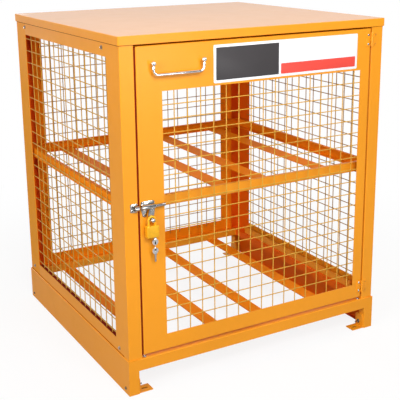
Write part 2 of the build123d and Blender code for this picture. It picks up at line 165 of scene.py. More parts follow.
class CabinetColours(bpy.types.PropertyGroup):
    coat: colour("Powder coat", "Colour of the powder-coated sheet", (0.86, 0.318, 0.010))
    # Painted shade: the sheet coat made redder and darker for the members inside the cabinet
    inner_coat: colour(
        "Inner coat", "Colour of the powder coat inside the cabinet", (0.90, 0.255, 0.006)
    )
    # Painted shade: the coat's colour on the shaded inner faces of the rear posts and the right
    # skirt
    shaded_coat: colour(
        "Shaded coat", "Colour inside the rear posts and the right skirt", (0.85, 0.14, 0.004)
    )
    # Painted light: the near wire colour is paler than the sheet coat as a painted sheen, the far
    # one darker as painted shade
    wire_coat: colour(
        "Wire coat", "Colour of the coat on the door and left wires", (0.64, 0.345, 0.045)
    )
    far_wire_painted_shade_coat: colour(
        "Far wire coat", "Colour of the coat on the rear and right wires", (0.50, 0.26, 0.035)
    )
    # Painted shadow: colours of the dark strips drawn where shade falls above the base and in the
    # gaps and folds
    seam: colour("Seam", "Colour of the painted_shadows above the base", (0.45, 0.075, 0.002))
    dark_seam: colour("Dark seam", "Colour in the deep painted_shadows and folds", (0.20, 0.012, 0.005))
    zinc: colour("Zinc", "Colour of the bright plated latch and bolts", (0.62, 0.62, 0.61))
    chrome: colour("Chrome", "Colour of the polished handle and keys", (0.84, 0.84, 0.85))
    brass: colour("Brass", "Colour of the padlock", (0.92, 0.46, 0.008))
    sign_white: colour("Sign white", "Ground colour of the sign plate", (0.88, 0.88, 0.90))
    sign_dark: colour("Sign dark", "Colour of the sign plate's panel", (0.055, 0.050, 0.052))
    sign_red: colour("Sign red", "Colour of the sign plate's band", (0.80, 0.075, 0.055))
    backdrop: colour("Backdrop", "Colour of the floor under the cabinet", (0.95, 0.95, 0.95))


# Shader maths


class Signal:
    """A shader value that takes part in Python expressions."""

    def __init__(self, recipe, socket):
        self.recipe = recipe
        self.socket = socket

    def __getitem__(self, output):
        return Signal(self.recipe, self.socket.node.outputs[output])

    def maths(self, operation, first, second=0.0):
        return self.recipe.add(
            "ShaderNodeMath", {"operation": operation}, {0: first, 1: second}
        )

    def __abs__(self):
        return self.maths("ABSOLUTE", self)

    def __add__(self, other):
        return self.maths("ADD", self, other)

    __radd__ = __add__

    def __mul__(self, other):
        return self.maths("MULTIPLY", self, other)

    def __sub__(self, other):
        return self.maths("SUBTRACT", self, other)

    def __rsub__(self, other):
        return self.maths("SUBTRACT", other, self)

    def ramp(self, low, high):
        """Smooth step from 0 at low to 1 at high."""
        return self.recipe.add(
            "ShaderNodeMapRange",
            {"interpolation_type": "SMOOTHSTEP"},
            {"Value": self, "From Min": low, "From Max": high},
        )


class Recipe:
    """A node tree that is built from expressions."""

    def __init__(self, tree):
        self.tree = tree
        tree.nodes.clear()

    def add(self, kind, settings=None, inputs=None):
        node = self.tree.nodes.new(kind)
        for key, value in (settings or {}).items():
            setattr(node, key, value)
        for key, value in (inputs or {}).items():
            if isinstance(value, Signal):
                self.tree.links.new(value.socket, node.inputs[key])
            else:
                node.inputs[key].default_value = value
        return Signal(self, node.outputs[0] if node.outputs else None)

    def place(self, scale=(1.0, 1.0, 1.0)):
        """Object coordinates in metres, stretched along the axes."""
        where = self.add("ShaderNodeTexCoord")["Object"]
        return self.add("ShaderNodeMapping", None, {"Vector": where, "Scale": scale})

    def noise(self, scale, detail=2.0, roughness=0.5, stretch=(1.0, 1.0, 1.0)):
        return self.add("ShaderNodeTexNoise", None, {
            "Vector": self.place(stretch),
            "Scale": scale,
            "Detail": detail,
            "Roughness": roughness,
        })

    def blend(self, mask, first, second):
        mixed = self.add(
            "ShaderNodeMix",
            {"data_type": "RGBA"},
            {"Factor": mask, "A": wide(first), "B": wide(second)},
        )
        return mixed["Result"]

    def bump(self, height, strength, distance):
        return self.add(
            "ShaderNodeBump", None,
            {"Height": height, "Strength": strength, "Distance": distance},
        )

    def surface(self, inputs):
        return self.add("ShaderNodeBsdfPrincipled", None, inputs)


class Finish(Recipe):
    """A material."""

    def __init__(self, name):
        self.material = bpy.data.materials.new(name)
        self.material.use_nodes = True
        super().__init__(self.material.node_tree)

    def close(self, shader):
        self.add("ShaderNodeOutputMaterial", None, {"Surface": shader})
        return self.material


def wide(tint):
    """Gives a plain colour its alpha."""
    return tint if isinstance(tint, Signal) else (*tint, 1.0)


def shade(tint, amount):
    """Makes a colour darker (amount below 1) or lighter."""
    return tuple(min(1.0, part * amount) for part in tint)


def powder_coat(name, tint, gloss, skin, crown=0.0, inside=None, edges=(0.0, 0.0)):
    """Baked powder coat: slow drift of thickness, orange peel, pores and a clear skin, which is
    thicker on the flat top of a cap that ends at the height crown, where the colour is also made a
    little paler as a painted sheen.
    Faces inside the edges (x to both sides, y to the back) can have a colour of their own, given
    as painted shade."""
    finish = Finish(name)
    where = finish.add("ShaderNodeSeparateXYZ", None, {0: finish.place()})
    drift = finish.noise(2.3, 3.0)
    cloud = finish.noise(19.0, 4.0, 0.6)
    peel = finish.noise(420.0, 1.5, 0.45)
    pores = finish.noise(2300.0, 1.0).ramp(0.66, 0.8)

    def layered(base):
        body = finish.blend(drift.ramp(0.3, 0.7), shade(base, 0.955), shade(base, 1.03))
        body = finish.blend(cloud.ramp(0.45, 0.75) * 0.35, body, shade(base, 0.93))
        return finish.blend(pores * 0.18, body, shade(base, 0.6))

    body = layered(tint)
    # Painted shade: faces inside the edges take the second colour
    if inside:
        side, back = edges
        outside = (
            abs(where["X"]).ramp(side, side + EDGE_FADE) + where["Y"].ramp(back, back + EDGE_FADE)
        )
        body = finish.blend(outside, layered(inside), body)
    # Painted sheen: the flat top is blended a tenth of the way to white
    if crown:
        upper = where["Z"].ramp(crown - 1.5 * MM, crown - 0.3 * MM)
        body = finish.blend(upper * 0.1, body, (1.0, 1.0, 1.0))
        skin = skin + upper * 0.45
    return finish.close(finish.surface({
        "Base Color": body,
        "Roughness": 0.36 + cloud * 0.10 + peel * 0.05,
        "Normal": finish.bump(peel * 0.8 + cloud * 0.35, 0.16, 0.0006),
        "Coat Weight": skin,
        "Coat Roughness": 0.2,
        "Specular IOR Level": gloss,
    }))


def wire_coat(name, tint):
    """The same coat on drawn wire, with a lumpier skin."""
    finish = Finish(name)
    drift = finish.noise(6.0, 3.0)
    lumps = finish.noise(300.0, 2.0)
    return finish.close(finish.surface({
        "Base Color": finish.blend(drift.ramp(0.3, 0.7), shade(tint, 0.94), shade(tint, 1.06)),
        "Roughness": 0.34 + lumps * 0.14,
        "Normal": finish.bump(lumps, 0.22, 0.0004),
        "Coat Weight": 0.02,
        "Coat Roughness": 0.2,
        "Specular IOR Level": 0.18,
    }))


def bright_plate(name, tint):
    """Bright zinc on pressed steel: cloudy bloom, rolled grain and small dull spots."""
    finish = Finish(name)
    bloom = finish.noise(90.0, 4.0, 0.6)
    grain = finish.noise(300.0, 3.0, 0.6, (0.12, 1.0, 1.0))
    spots = finish.noise(420.0, 2.0).ramp(0.56, 0.7)
    body = finish.blend(bloom.ramp(0.3, 0.7), shade(tint, 0.72), shade(tint, 1.12))
    body = finish.blend(spots * 0.45, body, shade(tint, 0.45))
    return finish.close(finish.surface({
        "Base Color": body,
        "Metallic": 1.0,
        "Roughness": 0.10 + bloom * 0.08 + spots * 0.12,
        "Normal": finish.bump(grain * 0.6 + bloom * 0.4, 0.25, 0.0006),
    }))


def polished_chrome(name, tint):
    """Buffed chrome with faint wiping marks."""
    finish = Finish(name)
    wipe = finish.noise(160.0, 3.0, 0.6, (1.0, 0.2, 0.2))
    haze = finish.noise(45.0, 3.0)
    return finish.close(finish.surface({
        "Base Color": finish.blend(haze.ramp(0.35, 0.7), shade(tint, 0.92), shade(tint, 1.06)),
        "Metallic": 1.0,
        "Roughness": 0.02 + haze * 0.05 + wipe * 0.04,
        "Normal": finish.bump(wipe, 0.06, 0.0003),
    }))


def satin_brass(name, tint):
    """Lacquered brass: level brush lines, a warm drift and darker handled spots."""
    finish = Finish(name)
    lines = finish.noise(420.0, 3.0, 0.65, (0.06, 0.06, 1.0))
    tarnish = finish.noise(60.0, 4.0, 0.6)
    body = finish.blend(tarnish.ramp(0.35, 0.7), shade(tint, 1.04), shade(tint, 0.88))
    return finish.close(finish.surface({
        "Base Color": finish.blend(lines.ramp(0.4, 0.7) * 0.25, body, shade(tint, 0.82)),
        "Metallic": 0.3,
        "Roughness": 0.32 + lines * 0.16 + tarnish * 0.08,
        "Normal": finish.bump(lines, 0.12, 0.0003),
        "Coat Weight": 0.2,
        "Coat Roughness": 0.2,
    }))


def sign_ink(name, tint):
    """Screen-printed ink on a vinyl plate, almost even, with a soft sheen."""
    finish = Finish(name)
    drift = finish.noise(14.0, 3.0)
    tooth = finish.noise(900.0, 1.0)
    return finish.close(finish.surface({
        "Base Color": finish.blend(drift.ramp(0.35, 0.7), shade(tint, 0.97), shade(tint, 1.02)),
        "Roughness": 0.36 + tooth * 0.08,
        "Normal": finish.bump(tooth, 0.05, 0.0002),
        "Specular IOR Level": 0.3,
    }))


def dark_hole(name, tint):
    """The shadowed inside of a key slot, a screw recess or a gap, drawn dark as painted shade."""
    finish = Finish(name)
    grime = finish.noise(700.0, 2.0)
    return finish.close(finish.surface({
        "Base Color": finish.blend(grime, shade(tint, 0.5), shade(tint, 1.5)),
        "Roughness": 0.7 + grime * 0.2,
        "Specular IOR Level": 0.05,
    }))


def floor_paper(name, tint):
    """Seamless studio paper, which the camera sees as near white with a soft shadow."""
    finish = Finish(name)
    rays = finish.add("ShaderNodeLightPath")
    seen = rays["Is Camera Ray"]
    tooth = finish.noise(300.0, 2.0)
    away = finish.add("ShaderNodeVectorMath", {"operation": "LENGTH"}, {0: finish.place()})
    far = away["Value"].ramp(0.6, 1.7)
    lit = finish.blend(tooth, shade(tint, 0.99), shade(tint, 1.01))
    paper = finish.surface({
        "Base Color": finish.blend(seen, shade(tint, 0.42), lit),
        "Roughness": 0.75 + tooth * 0.1,
        "Specular IOR Level": 0.1,
    })
    glow = finish.add(
        "ShaderNodeEmission", None, {"Color": (1.0, 1.0, 1.0, 1.0), "Strength": 1.0}
    )
    share = seen * (0.85 + far * 0.15) + rays["Is Glossy Ray"] * 0.22
    return finish.close(finish.add("ShaderNodeMixShader", None, {0: share, 1: paper, 2: glow}))


FINISHES = {}


def finish_named(name):
    """Makes each material once, from the colours in the panel."""
    if not FINISHES:
        colours = bpy.context.scene.cabinet_colours

        def tint(key):
            return tuple(getattr(colours, key))

        coat, shaded = tint("coat"), tint("shaded_coat")
        FINISHES.update(
            powder_coat=powder_coat("powder_coat", coat, 0.33, 0.08),
            # The roof's coat is made a little paler on its flat top as a painted sheen
            roof_coat=powder_coat("powder_coat_roof", coat, 0.33, 0.08, CAD_BOUNDS[1][2]),
            # Inner members: the sheet coat on outer faces, painted shade on faces inside the
            # body's edges
            inner_coat=powder_coat(
                "powder_coat_inside", coat, 0.03, 0.0, 0.0, tint("inner_coat"), BODY_EDGES
            ),
            # Rear posts and right skirt: the sheet coat outside, painted shade on their inner
            # faces
            post_coat=powder_coat("powder_coat_post", coat, 0.08, 0.0, 0.0, shaded, BODY_EDGES),
            skirt_coat=powder_coat(
                "powder_coat_skirt", coat, 0.08, 0.0, 0.0, shaded, SKIRT_EDGES
            ),
            mesh_coat=wire_coat("mesh_coat", tint("wire_coat")),
            far_mesh_coat=wire_coat("far_mesh_coat", tint("far_wire_painted_shade_coat")),
            bright_steel=bright_plate("bright_steel", tint("zinc")),
            # A darker copy of the zinc, used for the bolts and nuts at the feet
            dull_steel=bright_plate("dull_steel", shade(tint("zinc"), 0.45)),
            chrome=polished_chrome("polished_chrome", tint("chrome")),
            padlock_case=satin_brass("padlock_case", tint("brass")),
            sign_white=sign_ink("sign_white", tint("sign_white")),
            sign_dark=sign_ink("sign_dark", tint("sign_dark")),
            sign_red=sign_ink("sign_red", tint("sign_red")),
            recess=dark_hole("recess", (0.045, 0.04, 0.033)),
            # Painted shadow finishes for the dark strips and holes where shade falls
            seam=dark_hole("seam", tint("seam")),
            dark_seam=dark_hole("dark_seam", tint("dark_seam")),
        )
    return FINISHES[name]


# Modelling helpers


def settle(bm, name, body, finishes, stands_for=(), smooth=35.0):
    """Turns a bmesh into a piece of the cabinet that rides on a body."""
    bmesh.ops.recalc_face_normals(bm, faces=bm.faces)
    mesh = bpy.data.meshes.new(name)
    bm.to_mesh(mesh)
    bm.free()
    piece = bpy.data.objects.new(name, mesh)
    bpy.context.scene.collection.objects.link(piece)
    for finish in finishes:
        mesh.materials.append(finish_named(finish))
    mesh.polygons.foreach_set("use_smooth", [True] * len(mesh.polygons))
    mesh.set_sharp_from_angle(angle=math.radians(smooth))
    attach(piece, body)
    if stands_for:
        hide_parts(*stands_for)


def aimed(centre, direction):
    """Places a shape drawn about its own Z so that it points along a direction."""
    turn = Z.rotation_difference(Vector(direction)).to_matrix().to_4x4()
    return Matrix.Translation(centre) @ turn


def facing_front(x, y, z):
    """Places a shape drawn in (across, up, out) so that it looks out of the cabinet's front."""
    turn = Matrix(((1, 0, 0, 0), (0, 0, -1, 0), (0, 1, 0, 0), (0, 0, 0, 1)))
    return Matrix.Translation((x, y, z)) @ turn


def on_front(x, z, thick):
    """Places a shape drawn about its own Z on a plate of some thickness on the front."""
    return aimed((x, FRONT - thick, z), -Y)


def in_mm(points, start=(0.0, 0.0)):
    """Points of an outline or profile, given in millimetres from a start."""
    return [(start[0] + first * MM, start[1] + second * MM) for first, second in points]


def turns(steps, count=None):
    """Angles of equal steps of a full turn: all of them, or the first few."""
    return [i * math.tau / steps for i in range(count or steps)]


def ball(radius, centre, count):
    """Profile of a ball from its top down, in count points of 32 to the full circle."""
    return [
        (radius * math.sin(turn), centre + radius * math.cos(turn)) for turn in turns(32, count)
    ]


def each_once(parts):
    """Lists parts of a bmesh without repeats, in the order in which they come."""
    return list(dict.fromkeys(parts))


def lathe(bm, profile, place, steps, finish=0, closed=False):
    """Turns a profile of (radius, height) points about its own Z."""
    chain = [bm.verts.new((radius, 0, height)) for radius, height in profile]
    pairs = list(zip(chain, chain[1:])) + ([(chain[-1], chain[0])] if closed else [])
    edges = [bm.edges.new(pair) for pair in pairs]
    before = set(bm.faces)
    bmesh.ops.spin(
        bm, geom=chain + edges, cent=(0, 0, 0), axis=Z, angle=math.tau, steps=steps,
        use_merge=True,
    )
    faces = [face for face in bm.faces if face not in before]
    verts = each_once(vert for face in faces for vert in face.verts)
    for face in faces:
        face.material_index = finish
    bmesh.ops.transform(bm, matrix=place, verts=verts)
    bmesh.ops.remove_doubles(bm, verts=verts, dist=1e-6)


def round_off(bm, edges, radius, segments=2):
    bmesh.ops.bevel(
        bm, geom=edges, offset=radius, segments=segments, profile=0.5, affect="EDGES",
        material=-1,
    )


def colour_new(bm, before, finish):
    """Gives the faces that weren't there before one of the piece's finishes."""
    for face in bm.faces:
        if face not in before:
            face.material_index = finish


def block(bm, low, high, soften=0.0, segments=2, finish=0):
    """Block between two corners, with its edges rounded."""
    low, high = Vector(low), Vector(high)
    before = set(bm.faces)
    made = bmesh.ops.create_cube(
        bm, size=1.0,
        matrix=Matrix.Translation((low + high) / 2) @ Matrix.Diagonal((*(high - low), 1.0)),
    )
    if soften:
        edges = each_once(edge for vert in made["verts"] for edge in vert.link_edges)
        round_off(bm, edges, soften, segments)
    colour_new(bm, before, finish)


def raise_plate(bm, base, place, thickness, soften, finish=0):
    """Gives flat faces a thickness along their own Z and rounds their upper rim."""
    before = set(bm.faces) - set(base)
    lifted = bmesh.ops.extrude_face_region(bm, geom=base)["geom"]
    top = [part for part in lifted if isinstance(part, bmesh.types.BMFace)]
    bmesh.ops.translate(
        bm, verts=[part for part in lifted if isinstance(part, bmesh.types.BMVert)],
        vec=place.to_3x3() @ Vector((0, 0, thickness)),
    )
    if soften:
        edges = each_once(edge for face in top for edge in face.edges)
        rim = [edge for edge in edges if not set(edge.link_faces) <= set(top)]
        round_off(bm, rim, soften)
    colour_new(bm, before, finish)


def plate(bm, outline, place, thickness, soften=0.0, finish=0):
    """Flat plate from an outline drawn in its own (x, y)."""
    base = bm.faces.new([bm.verts.new(place @ Vector((*point, 0.0))) for point in outline])
    raise_plate(bm, [base], place, thickness, soften, finish)


def pierced_disc(bm, place, radius, hole, hole_at, thickness, soften):
    """Round plate with an oval hole (half-width, half-height) away from its middle."""
    rings = []
    for size, where in (((radius, radius), Vector()), (hole, Vector((0, hole_at, 0)))):
        made = bmesh.ops.create_circle(
            bm, cap_ends=False, radius=1.0, segments=28,
            matrix=place @ Matrix.Translation(where) @ Matrix.Diagonal((*size, 1.0, 1.0)),
        )
        rings += each_once(edge for vert in made["verts"] for edge in vert.link_edges)
    base = bmesh.ops.bridge_loops(bm, edges=rings)["faces"]
    raise_plate(bm, base, place, thickness, soften)


def oblong(low, high, corner):
    """Outline of a rectangle with round corners, each drawn in five steps."""
    (x0, y0), (x1, y1) = low, high
    left, right, bottom, top = x0 + corner, x1 - corner, y0 + corner, y1 - corner
    steps = 5
    return [
        (cx + corner * math.cos(turn), cy + corner * math.sin(turn))
        for quarter, (cx, cy) in enumerate(
            ((right, top), (left, top), (left, bottom), (right, bottom))
        )
        for turn in (math.pi / 2 * (quarter + step / steps) for step in range(steps + 1))
    ]


def edges_between(verts):
    """Edges with both ends among some vertices."""
    ends = set(verts)
    return each_once(e for v in verts for e in v.link_edges if set(e.verts) <= ends)


class Bar:
    """A round bar drawn along its run: its end ring is pushed straight or swung round a bend."""

    def __init__(self, bm, start, direction, radius, sides):
        self.bm = bm
        made = bmesh.ops.create_circle(
            bm, cap_ends=False, radius=radius, segments=sides, matrix=aimed(start, direction)
        )
        self.ring = edges_between(made["verts"])
        self.first = list(self.ring)

    def straight(self, by, grow=1.0):
        made = bmesh.ops.extrude_edge_only(self.bm, edges=self.ring)
        verts = [part for part in made["geom"] if isinstance(part, bmesh.types.BMVert)]
        middle = sum((v.co for v in verts), Vector()) / len(verts)
        bmesh.ops.scale(
            self.bm, verts=verts, vec=(grow, grow, grow), space=Matrix.Translation(-middle)
        )
        bmesh.ops.translate(self.bm, verts=verts, vec=by)
        self.ring = edges_between(verts)

    def bend(self, centre, axis, degrees, steps=8):
        verts = each_once(v for e in self.ring for v in e.verts)
        made = bmesh.ops.spin(
            self.bm, geom=verts + self.ring, cent=centre, axis=axis,
            angle=math.radians(degrees), steps=steps,
        )
        self.ring = [
            part for part in made["geom_last"] if isinstance(part, bmesh.types.BMEdge)
        ]

    def close(self):
        bmesh.ops.edgeloop_fill(self.bm, edges=self.first)
        bmesh.ops.edgeloop_fill(self.bm, edges=self.ring)


def pan_head(bm, place, width, height):
    """Domed screw head with a cross recess."""
    r = width / 2
    profile = [
        (0, height), (r * 0.35, height), (r * 0.7, height * 0.86), (r * 0.92, height * 0.55),
        (r, height * 0.2), (r, 0),
    ]
    lathe(bm, profile, place, 20)
    # The cross recess is a dark cross set into the dome as painted shade, not a cut
    for turn in (0, 90):
        made = bmesh.ops.create_cube(
            bm, size=1.0,
            matrix=place @ Matrix.Rotation(math.radians(turn), 4, "Z")
            @ Matrix.Translation((0, 0, height * 0.93))
            @ Matrix.Diagonal((width * 0.5, width * 0.14, height * 0.2, 1.0)),
        )
        for face in {f for v in made["verts"] for f in v.link_faces}:
            face.material_index = RECESS


def hex_bolt(bm, place, width, height, finish=0):
    """Hexagon head with a chamfered crown on a flat washer."""
    washer, thick = width * 0.85, height * 0.2
    profile = [
        (0, 0), (washer, 0), (washer, thick * 0.7), (washer * 0.95, thick), (width * 0.4, thick)
    ]
    lathe(bm, profile, place, 24, finish)
    corner = width / math.sqrt(3)
    outline = [(corner * math.cos(turn), corner * math.sin(turn)) for turn in turns(6)]
    raised = place @ Matrix.Translation((0, 0, thick))
    plate(bm, outline, raised, height, height * 0.18, finish)


def bolt_end(bm, place, width, height, reach, finish):
    """Nut with the end of its bolt standing out of it."""
    hex_bolt(bm, place, width, height, finish)
    r = width * 0.3
    profile = [(r, height), (r, reach - r * 0.3), (r * 0.7, reach), (0, reach)]
    lathe(bm, profile, place, 16, finish)


def rows(span, pitch, shift, tuck, wire):
    """Places of the wires across a span, counted from its middle."""
    reach = span / 2 - tuck - wire
    first, last = math.ceil((-reach - shift) / pitch), math.floor((reach - shift) / pitch)
    return [shift + i * pitch for i in range(first, last + 1)]


def weave(node, body, across, shift, inward, finish):
    """Welded mesh in round wire that stands for a CAD lattice; its level wires lie outside."""
    s = bpy.context.scene.cabinet_sizes
    low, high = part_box(node)
    middle = (low + high) / 2
    radius = s.wire / 2
    span = (high - low).dot(across)
    height = high.z - low.z
    welded = 0.88  # share of its radius by which each layer lies off the mesh's middle
    step = inward * radius * welded
    bm = bmesh.new()

    def draw_wire(centre, direction, depth):
        bmesh.ops.create_cone(
            bm, cap_ends=True, segments=12, radius1=radius, radius2=radius, depth=depth,
            matrix=aimed(centre, direction),
        )

    for place in rows(span, s.pitch_across, shift, s.mesh_tuck, s.wire):
        draw_wire(middle + step + across * place, Z, height)
    for place in rows(height, s.pitch_up, 0.0, s.mesh_tuck, s.wire):
        draw_wire(middle - step + Z * place, across, span)
    settle(bm, node.replace("_mesh", "_wire_mesh"), body, [finish], [node], 60.0)


def is_inner(name):
    """Tells whether a frame member lies inside the cabinet, where the coat is painted redder and
    darker as painted shade.
    """
    if name.startswith("rear_"):
        return name.endswith(("_stile", "_rail"))
    return name.startswith(("shelf_", "floor_", "front_top")) and name != "shelf_front_rail"


class CABINET_OT_coats(bpy.types.Operator):
    """Gives every sheet member and plated part of the frame its finish"""

    bl_idname = "cabinet.coats"
    bl_label = "Coat the frame"

    def execute(self, context):
        for part in frame["record"]["subparts"]:
            name = part["node"]
            finish = MEMBER_COATS.get(name, part["material_slot"])
            # Members inside the cabinet get the coat with painted shade
            if is_inner(name):
                finish = "inner_coat"
            node = frame["nodes"][name]
            node.data.materials.clear()
            node.data.materials.append(finish_named(finish))
        return {"FINISHED"}


class CABINET_OT_meshes(bpy.types.Operator):
    """Weaves the welded wire mesh of the door, the sides and the rear"""

    bl_idname = "cabinet.meshes"
    bl_label = "Wire mesh"

    def execute(self, context):
        shift = context.scene.cabinet_sizes.door_mesh_shift
        # Door and left wires take the paler coat as painted sheen, rear and right wires the darker
        # coat as painted shade
        weave("door_mesh", "door", X, shift, Y, "mesh_coat")
        weave("left_mesh", "cabinet", Y, 0.0, X, "mesh_coat")
        weave("right_mesh", "cabinet", Y, 0.0, -X, "far_mesh_coat")
        weave("rear_mesh", "cabinet", X, 0.0, -Y, "far_mesh_coat")
        return {"FINISHED"}


class CABINET_OT_painted_shadows(bpy.types.Operator):
    """Draws dark strips as painted shadow under the roof's edge, above the base, along the left
    bottom rail and in the door gap at the latch, and dark plates as painted shade in the feet's
    slots
    """

    bl_idname = "cabinet.seams"
    bl_label = "Seams"

    def execute(self, context):
        dark = 2  # place of dark_seam in the list of finishes
        proud, deep = 0.15 * MM, 0.5 * MM
        post_width = 38 * MM
        slot_x, slot_y = 48.5 * MM, 16 * MM
        slot_long, slot_wide, slot_corner = 9 * MM, 3.5 * MM, 3.4 * MM
        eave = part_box("roof_cap")[0].z
        bm = bmesh.new()
        for side in (-1, 1):
            x0, x1 = sorted((side * (RIGHT + proud), side * (RIGHT - deep)))
            # Painted shadow under the roof's edge along each side, and above the base
            block(bm, (x0, FRONT, eave - 2.2 * MM), (x1, BACK, eave), finish=dark)
            block(bm, (x0, FRONT + 30 * MM, BASE_TOP), (x1, BACK, BASE_TOP + 2.6 * MM))
            # Painted shadow under the roof's edge across the front post
            x0, x1 = sorted((side * RIGHT, side * (RIGHT - post_width)))
            low, high = (x0, FRONT - proud, eave - 1.2 * MM), (x1, FRONT + deep, eave)
            block(bm, low, high, finish=dark)
            # Dark plates in the feet's slots as painted shade
            for y in (FRONT + slot_y, BACK - slot_y):
                x = side * (RIGHT - slot_x)
                low, high = (x - slot_long, y - slot_wide), (x + slot_long, y + slot_wide)
                above = Matrix.Translation((0, 0, 0.05 * MM))
                plate(bm, oblong(low, high, slot_corner), above, deep, finish=RECESS)
        # Painted shade in the left bottom rail's open channel
        low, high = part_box("left_bottom_rail")
        block(
            bm, (LEFT + 1.8 * MM, low.y + 2 * MM, high.z - deep),
            (LEFT + 16 * MM, high.y - 2 * MM, high.z + proud), finish=dark,
        )
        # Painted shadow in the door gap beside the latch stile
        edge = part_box("door_latch_stile")[0]
        block(
            bm, (edge.x - 5 * MM, FRONT + 1 * MM, edge.z),
            (edge.x - 1.2 * MM, FRONT + 1.6 * MM, eave - 5 * MM), finish=dark,
        )
        settle(bm, "seam_lines", "cabinet", ["seam", "recess", "dark_seam"])
        return {"FINISHED"}


class CABINET_OT_side_bolts(bpy.types.Operator):
    """Adds the bolts that hold the sides, the base and the feet together"""

    bl_idname = "cabinet.side_bolts"
    bl_label = "Side and foot bolts"

    def execute(self, context):
        width = context.scene.cabinet_sizes.bolt_width
        darker_plate = 1  # place of dull_steel in the list of finishes
        foot_y, sill_x, sill_y = 19 * MM, 356 * MM, 6 * MM
        bm = bmesh.new()
        skirt = abs(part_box("left_base_skirt")[0].x)
        bracket = abs(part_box("front_left_anchor")[0].x) - 3 * MM
        for side in (-1, 1):
            for y, z in SIDE_BOLTS:
                place = aimed((side * RIGHT, FRONT + y * MM, z * MM), (side, 0, 0))
                hex_bolt(bm, place, width * 0.8, width * 0.4)
            for y in (FRONT + foot_y, BACK - foot_y):
                place = aimed((side * skirt, y, 15 * MM), (side, 0, 0))
                hex_bolt(bm, place, width * 0.66, width * 0.3, darker_plate)
                place = aimed((side * bracket, y, 16 * MM), (-side, 0, 0))
                bolt_end(bm, place, width * 0.9, width * 0.5, 12.5 * MM, darker_plate)
            place = aimed((side * sill_x, FRONT + sill_y, BASE_TOP), Z)
            hex_bolt(bm, place, width * 0.7, width * 0.35)
        finishes = ["bright_steel", "dull_steel"]
        settle(bm, "side_and_foot_bolts", "cabinet", finishes)
        return {"FINISHED"}


def hinge_leaf(bm, way, low, high):
    """Leaf of a butt hinge that reaches to one side (way) of its pin, with its own knuckles."""
    radius, gap, slack = 3.5 * MM, 0.4 * MM, 0.2 * MM
    rim, chamfer, bore, dish = 3.1 * MM, 0.4 * MM, 1.6 * MM, 0.3 * MM
    axis_x = (low.x if way > 0 else high.x) + way * radius
    far = low.x if way < 0 else high.x
    near = axis_x + way * (radius + gap)
    x0, x1 = sorted((far, near))
    outline = oblong((x0, low.z), (x1, high.z), 1.8 * MM)
    plate(bm, outline, facing_front(0, FRONT, 0), LEAF_THICK, 0.4 * MM)
    third = (high.z - low.z - 2 * gap) / 3
    if way > 0:
        spans = [(low.z, low.z + third), (high.z - third, high.z)]
    else:
        spans = [(low.z + third + gap, high.z - third - gap)]
    for start, stop in spans:
        x0, x1 = sorted((axis_x, near + way * 2 * MM))
        tab_low, tab_high = (x0, FRONT - LEAF_THICK, start + slack), (x1, FRONT, stop - slack)
        block(bm, tab_low, tab_high, 0.2 * MM)
        lathe(bm, [
            (0, start + dish), (bore, start + dish), (bore, start), (rim, start),
            (radius, start + chamfer), (radius, stop - chamfer), (rim, stop), (bore, stop),
            (bore, stop - dish), (0, stop - dish),
        ], Matrix.Translation((axis_x, FRONT - radius, 0)), 28)


class CABINET_OT_hinges(bpy.types.Operator):
    """Models the leaves, knuckles and screws of both hinges"""

    bl_idname = "cabinet.hinges"
    bl_label = "Hinges"

    def execute(self, context):
        width = context.scene.cabinet_sizes.screw_width
        screw_z = 6.5 * MM
        for which in ("upper", "lower"):
            for body, leaf, finish in (
                ("door", "door_leaf", "bright_steel"), ("cabinet", "post_leaf", "powder_coat")
            ):
                on_door = body == "door"
                low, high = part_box(f"{which}_hinge_{leaf}")
                bm = bmesh.new()
                hinge_leaf(bm, -1 if on_door else 1, low, high)
                settle(
                    bm, f"{which}_{leaf}_plate", body, ["powder_coat"],
                    [f"{which}_hinge_{leaf}"],
                )
                bm = bmesh.new()
                x = low.x + 7.5 * MM if on_door else high.x - 5.5 * MM
                size = width if on_door else width * 0.8
                for z in (low.z + screw_z, high.z - screw_z):
                    pan_head(bm, on_front(x, z, LEAF_THICK), size, size * 0.26)
                settle(bm, f"{which}_{leaf}_screws", body, [finish, "recess"])
        return {"FINISHED"}


